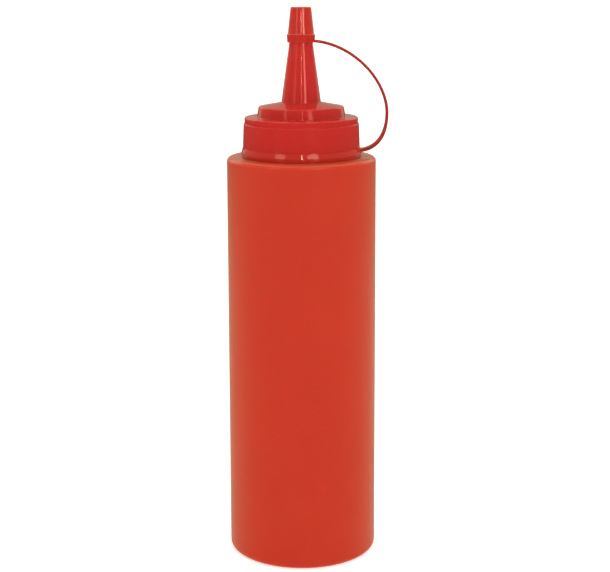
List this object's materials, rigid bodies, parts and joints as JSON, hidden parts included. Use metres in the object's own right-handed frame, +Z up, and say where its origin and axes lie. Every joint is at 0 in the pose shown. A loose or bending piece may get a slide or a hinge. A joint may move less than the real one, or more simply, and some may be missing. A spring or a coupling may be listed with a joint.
{
  "type": "squeeze bottle",
  "caption": "Tall cylindrical squeeze bottle for sauce, with a screw lid, a long conical nozzle and a tip cap held by a moulded strap.",
  "frame": {"origin": "centre of the flat base, on the bottle's axis", "axes": "+Z up along the bottle's axis, +X towards the side where the strap bulges out, +Y away from the viewer who sees the strap on the right"},
  "size_m": [0.0762, 0.0712, 0.2613],
  "materials": {
    "body_plastic": "satin orange-red polyethylene, slightly waxy",
    "lid_plastic": "glossy deep red moulded plastic, satin on the skirt",
    "cap_plastic": "glossy deep red flexible plastic"
  },
  "bodies": {
    "root": {"bottle": "body_plastic", "lid": "lid_plastic", "tethered_cap": "cap_plastic"}
  },
  "joints": []
}
